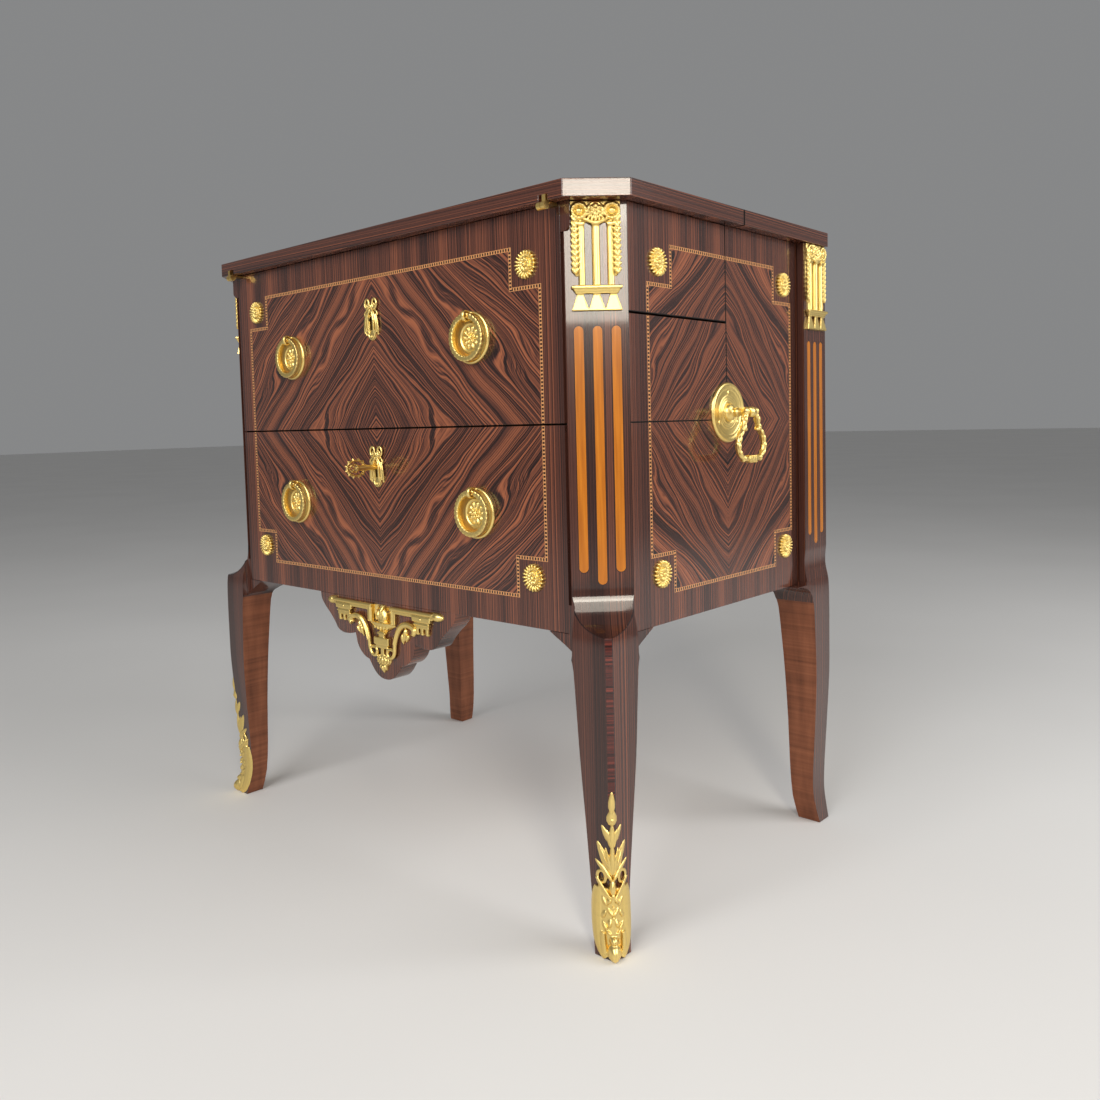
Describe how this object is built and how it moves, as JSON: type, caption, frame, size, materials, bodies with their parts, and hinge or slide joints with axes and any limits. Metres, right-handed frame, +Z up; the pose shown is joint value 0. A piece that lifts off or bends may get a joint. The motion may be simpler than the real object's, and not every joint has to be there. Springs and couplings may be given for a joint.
{
  "type": "convertible desk",
  "caption": "Period writing desk in matched rosewood on curved legs, with a fold-out leaf carried on a drawer, side drawers, gilt bronze ring pulls, bail handles and mounts.",
  "frame": {"origin": "on the floor, under the middle of the outside box", "axes": "+Z up, -Y out of the drawer fronts, +X to the right of someone facing them"},
  "size_m": [0.7884, 0.506, 0.78],
  "materials": {
    "rosewood": "polished veneer",
    "secondary_wood": "waxed",
    "gilt_bronze": "bright gilt",
    "brass": "satin",
    "steel": "filed",
    "leather": "waxed"
  },
  "bodies": {
    "case": {"post_front_left": "rosewood", "post_front_right": "rosewood", "post_rear_left": "rosewood", "post_rear_right": "rosewood", "capital_front_left": "gilt_bronze", "capital_front_right": "gilt_bronze", "capital_rear_left": "gilt_bronze", "capital_rear_right": "gilt_bronze", "sabot_front_left": "gilt_bronze", "sabot_front_right": "gilt_bronze", "side_panel_left": "rosewood", "side_panel_right": "rosewood", "side_filler_left": "rosewood", "side_filler_right": "rosewood", "bottom_board": "secondary_wood", "divider_board": "secondary_wood", "shelf_board": "secondary_wood", "front_rail": "secondary_wood", "upright_board": "secondary_wood", "back_panel": "secondary_wood", "rear_top": "rosewood", "handle_plate_left": "gilt_bronze", "handle_plate_right": "gilt_bronze"},
    "upper_drawer": {"upper_drawer_front": "rosewood", "upper_drawer_box": "secondary_wood", "pull_plate_upper_left": "gilt_bronze", "pull_plate_upper_right": "gilt_bronze", "rosette_upper_left": "gilt_bronze", "rosette_upper_right": "gilt_bronze", "escutcheon_upper": "gilt_bronze", "lock_upper": "brass", "hinge_plate_left": "brass", "hinge_plate_right": "brass"},
    "leaf": {"leaf": "rosewood", "leaf_leather": "leather", "hinge_tongue_left": "brass", "hinge_tongue_right": "brass"},
    "ring_upper_left": {"pull_ring_upper_left": "gilt_bronze"},
    "ring_upper_right": {"pull_ring_upper_right": "gilt_bronze"},
    "bolt_upper": {"bolt_upper": "steel"},
    "lower_drawer": {"lower_drawer_front": "rosewood", "lower_drawer_box": "secondary_wood", "apron": "rosewood", "apron_mount": "gilt_bronze", "pull_plate_lower_left": "gilt_bronze", "pull_plate_lower_right": "gilt_bronze", "rosette_lower_left": "gilt_bronze", "rosette_lower_right": "gilt_bronze", "escutcheon_lower": "gilt_bronze", "lock_lower": "brass"},
    "ring_lower_left": {"pull_ring_lower_left": "gilt_bronze"},
    "ring_lower_right": {"pull_ring_lower_right": "gilt_bronze"},
    "bolt_lower": {"bolt_lower": "steel"},
    "key": {"key": "brass"},
    "side_drawer_left": {"side_drawer_front_left": "rosewood", "side_drawer_box_left": "secondary_wood"},
    "side_drawer_right": {"side_drawer_front_right": "rosewood", "side_drawer_box_right": "secondary_wood"},
    "bail_left": {"handle_bail_left": "gilt_bronze"},
    "bail_right": {"handle_bail_right": "gilt_bronze"}
  },
  "joints": [
    {"name": "upper_drawer_slide", "type": "slide", "parent": "case", "child": "upper_drawer", "axis": [0, -1, 0], "range_m": [0, 0.28]},
    {"name": "leaf_fold", "type": "hinge", "parent": "upper_drawer", "child": "leaf", "pos_m": [0, -0.2185, 0.7575], "axis": [1, 0, 0], "range_deg": [0, 180]},
    {"name": "ring_upper_left_swing", "type": "hinge", "parent": "upper_drawer", "child": "ring_upper_left", "pos_m": [-0.1745, -0.2118, 0.6613], "axis": [-1, 0, 0], "range_deg": [0, 95]},
    {"name": "ring_upper_right_swing", "type": "hinge", "parent": "upper_drawer", "child": "ring_upper_right", "pos_m": [0.1745, -0.2118, 0.6613], "axis": [-1, 0, 0], "range_deg": [0, 95]},
    {"name": "bolt_upper_throw", "type": "slide", "parent": "upper_drawer", "child": "bolt_upper", "axis": [0, 0, 1], "range_m": [0, 0.008]},
    {"name": "lower_drawer_slide", "type": "slide", "parent": "case", "child": "lower_drawer", "axis": [0, -1, 0], "range_m": [0, 0.28]},
    {"name": "ring_lower_left_swing", "type": "hinge", "parent": "lower_drawer", "child": "ring_lower_left", "pos_m": [-0.1745, -0.2118, 0.4683], "axis": [-1, 0, 0], "range_deg": [0, 95]},
    {"name": "ring_lower_right_swing", "type": "hinge", "parent": "lower_drawer", "child": "ring_lower_right", "pos_m": [0.1745, -0.2118, 0.4683], "axis": [-1, 0, 0], "range_deg": [0, 95]},
    {"name": "key_turn", "type": "hinge", "parent": "lower_drawer", "child": "key", "pos_m": [0, -0.213, 0.494], "axis": [0, 1, 0], "range_deg": [0, 90]},
    {"name": "bolt_lower_throw", "type": "slide", "parent": "lower_drawer", "child": "bolt_lower", "axis": [0, 0, 1], "range_m": [0, 0.008]},
    {"name": "side_drawer_left_slide", "type": "slide", "parent": "case", "child": "side_drawer_left", "axis": [-1, 0, 0], "range_m": [0, 0.18]},
    {"name": "side_drawer_right_slide", "type": "slide", "parent": "case", "child": "side_drawer_right", "axis": [1, 0, 0], "range_m": [0, 0.18]},
    {"name": "bail_left_swing", "type": "hinge", "parent": "case", "child": "bail_left", "pos_m": [-0.387, 0.025, 0.5495], "axis": [0, 1, 0], "range_deg": [0, 90]},
    {"name": "bail_right_swing", "type": "hinge", "parent": "case", "child": "bail_right", "pos_m": [0.387, 0.025, 0.5495], "axis": [0, -1, 0], "range_deg": [0, 90]}
  ],
  "couplings": [
    {"joint": "bolt_lower_throw", "follows": "key_turn", "m_per_rad": 0.0048}
  ]
}
